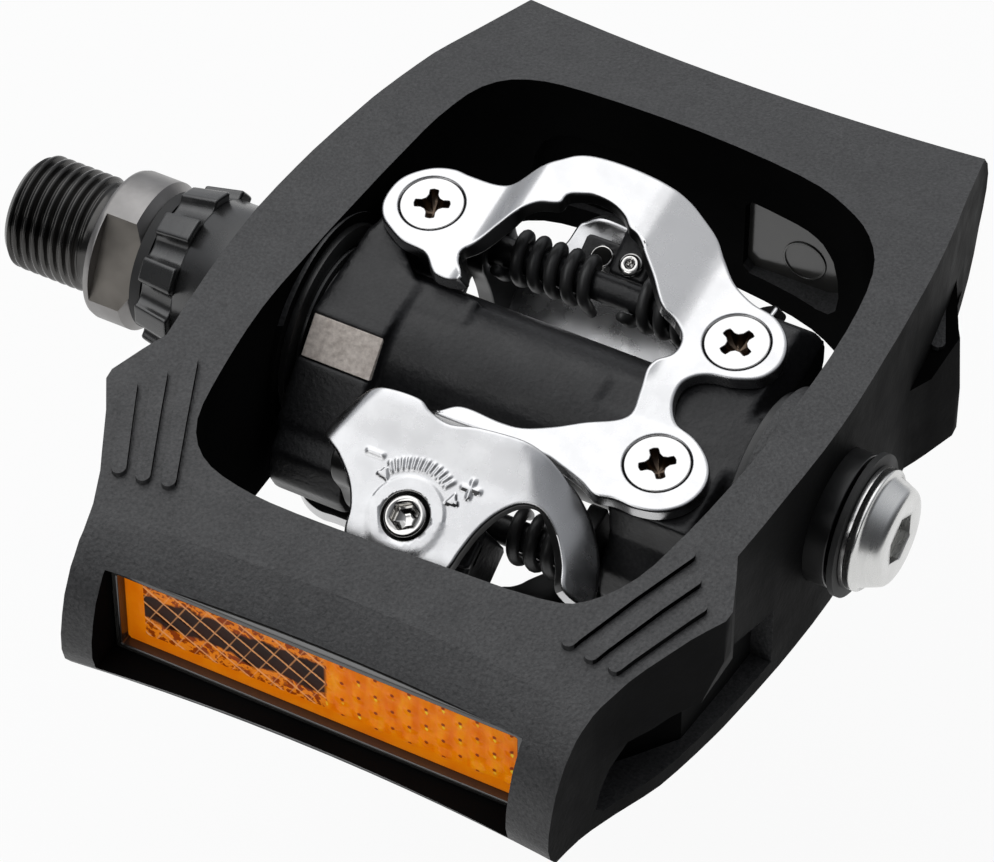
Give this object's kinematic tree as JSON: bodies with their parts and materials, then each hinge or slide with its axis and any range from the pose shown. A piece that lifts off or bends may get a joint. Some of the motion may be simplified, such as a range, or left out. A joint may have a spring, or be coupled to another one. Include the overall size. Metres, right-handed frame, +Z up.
{
  "type": "clipless pedal",
  "caption": "Two-sided clipless bicycle pedal: sprung cleat binding on a sealed cartridge axle, inside a pop-up platform cage with an amber reflector at each end.",
  "frame": {"origin": "on the spindle axis, in the shoulder that seats against the crank", "axes": "+X along the spindle from the crank outwards, +Z up, +Y towards the end of the cage where the binding stands up"},
  "size_m": [0.1151, 0.111, 0.0364],
  "materials": {
    "axle_steel": "dark oxide, bare on the wrench flats",
    "seal_rubber": "matte",
    "black_resin": "moulded, semi-gloss",
    "bearing_steel": "ground",
    "black_enamel": "semi-gloss black over steel",
    "pad_resin": "matte, mineral filled",
    "plated_steel": "satin nickel plate",
    "bright_steel": "bright plate",
    "spring_steel": "satin black",
    "cage_resin": "fine moulded texture",
    "amber_lens": "clear amber, prismatic back"
  },
  "bodies": {
    "spindle_unit": {"spindle": "axle_steel", "bearing_cone": "bearing_steel", "lock_nut": "bearing_steel"},
    "inboard_ball_set": {"inboard_balls": "bearing_steel"},
    "outboard_ball_set": {"outboard_balls": "bearing_steel"},
    "binding": {"dust_seal": "seal_rubber", "lock_sleeve": "black_resin", "bearing_sleeve": "bearing_steel", "binding_body": "black_enamel", "stop_pads": "pad_resin", "top_front_claw": "plated_steel", "bottom_front_claw": "plated_steel", "top_plate_screws": "bright_steel", "bottom_plate_screws": "bright_steel", "top_pivot_pin": "bright_steel", "bottom_pivot_pin": "bright_steel", "top_claw_springs": "spring_steel", "bottom_claw_springs": "spring_steel", "seal_washer": "seal_rubber", "end_washer": "bright_steel", "end_bolt": "bright_steel"},
    "platform": {"cage": "cage_resin", "left_bushing": "black_resin", "right_bushing": "black_resin", "pop_up_spring": "spring_steel", "spring_cover": "black_resin", "near_reflector": "amber_lens", "far_reflector": "amber_lens", "near_reflector_housing": "black_resin", "far_reflector_housing": "black_resin"},
    "top_claw": {"top_rear_claw": "plated_steel"},
    "bottom_claw": {"bottom_rear_claw": "plated_steel"},
    "top_bolt": {"top_tension_bolt": "bright_steel"},
    "bottom_bolt": {"bottom_tension_bolt": "bright_steel"},
    "top_nut": {"top_tension_nut": "black_enamel"},
    "bottom_nut": {"bottom_tension_nut": "black_enamel"}
  },
  "joints": [
    {"name": "pedal_spin", "type": "hinge", "parent": "spindle_unit", "child": "binding", "pos_m": [0.057, 0, 0], "axis": [1, 0, 0], "continuous": true},
    {"name": "inboard_roll", "type": "hinge", "parent": "spindle_unit", "child": "inboard_ball_set", "pos_m": [0.057, 0, 0], "axis": [1, 0, 0], "continuous": true},
    {"name": "outboard_roll", "type": "hinge", "parent": "spindle_unit", "child": "outboard_ball_set", "pos_m": [0.057, 0, 0], "axis": [1, 0, 0], "continuous": true},
    {"name": "pop_up", "type": "hinge", "parent": "binding", "child": "platform", "pos_m": [0.057, 0, 0], "axis": [1, 0, 0], "range_deg": [0, 11], "stiffness_Nm_per_rad": 0.8, "springref_deg": -20.05, "deforming": ["pop_up_spring"]},
    {"name": "top_claw_open", "type": "hinge", "parent": "binding", "child": "top_claw", "pos_m": [0.057, -0.01445, -0.00688], "axis": [1, 0, 0], "range_deg": [0, 12], "stiffness_Nm_per_rad": 2, "springref_deg": -28.65, "deforming": ["top_claw_springs"]},
    {"name": "top_bolt_turn", "type": "hinge", "parent": "top_claw", "child": "top_bolt", "pos_m": [0.0532, -0.02527, 0.00212], "axis": [0, -0.5299, 0.848], "range_deg": [-540, 540]},
    {"name": "top_nut_travel", "type": "slide", "parent": "top_claw", "child": "top_nut", "axis": [0, -0.5299, 0.848], "range_m": [-0.00075, 0.00075]},
    {"name": "bottom_claw_open", "type": "hinge", "parent": "binding", "child": "bottom_claw", "pos_m": [0.057, 0.01445, 0.00688], "axis": [1, 0, 0], "range_deg": [0, 12], "stiffness_Nm_per_rad": 2, "springref_deg": -28.65, "deforming": ["bottom_claw_springs"]},
    {"name": "bottom_bolt_turn", "type": "hinge", "parent": "bottom_claw", "child": "bottom_bolt", "pos_m": [0.0532, 0.02527, -0.00212], "axis": [0, 0.5299, -0.848], "range_deg": [-540, 540]},
    {"name": "bottom_nut_travel", "type": "slide", "parent": "bottom_claw", "child": "bottom_nut", "axis": [0, 0.5299, -0.848], "range_m": [-0.00075, 0.00075]}
  ],
  "couplings": [
    {"joint": "inboard_roll", "follows": "pedal_spin", "ratio": 0.6017},
    {"joint": "outboard_roll", "follows": "pedal_spin", "ratio": 0.6283},
    {"joint": "top_bolt_turn", "follows": "top_nut_travel", "rad_per_m": 12566},
    {"joint": "bottom_bolt_turn", "follows": "bottom_nut_travel", "rad_per_m": 12566}
  ]
}
